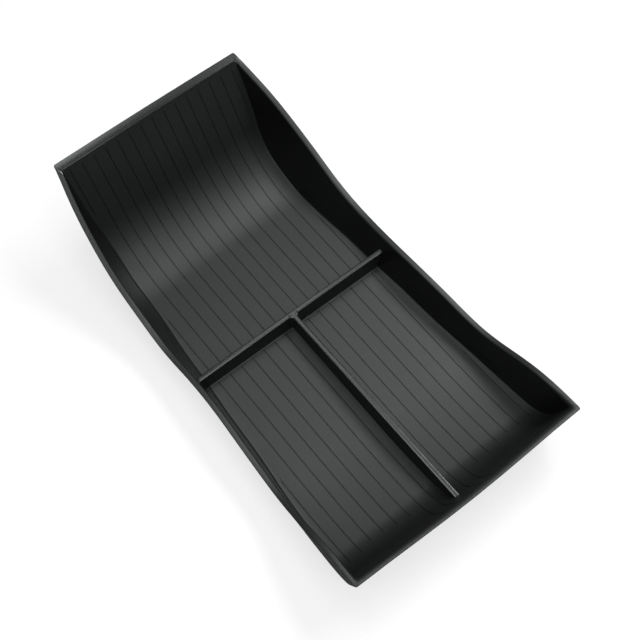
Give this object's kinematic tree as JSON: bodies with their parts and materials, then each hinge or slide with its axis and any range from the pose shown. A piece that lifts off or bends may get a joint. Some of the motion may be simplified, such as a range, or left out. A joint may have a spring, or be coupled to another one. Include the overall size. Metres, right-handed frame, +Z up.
{
  "type": "center console organizer tray",
  "caption": "Black moulded console tray with a swept back, curled front, waved side rims, fine floor grooves and a low T-shaped divider.",
  "frame": {"origin": "middle of the tray's length and width, level with the flat underside it rests on", "axes": "+X across the tray, +Y along it towards the tall swept end, +Z up"},
  "size_m": [0.1508, 0.285, 0.073],
  "materials": {
    "tray": "fine-grained black moulded plastic with a soft sheen"
  },
  "bodies": {
    "root": {"tray": "tray"}
  },
  "joints": []
}
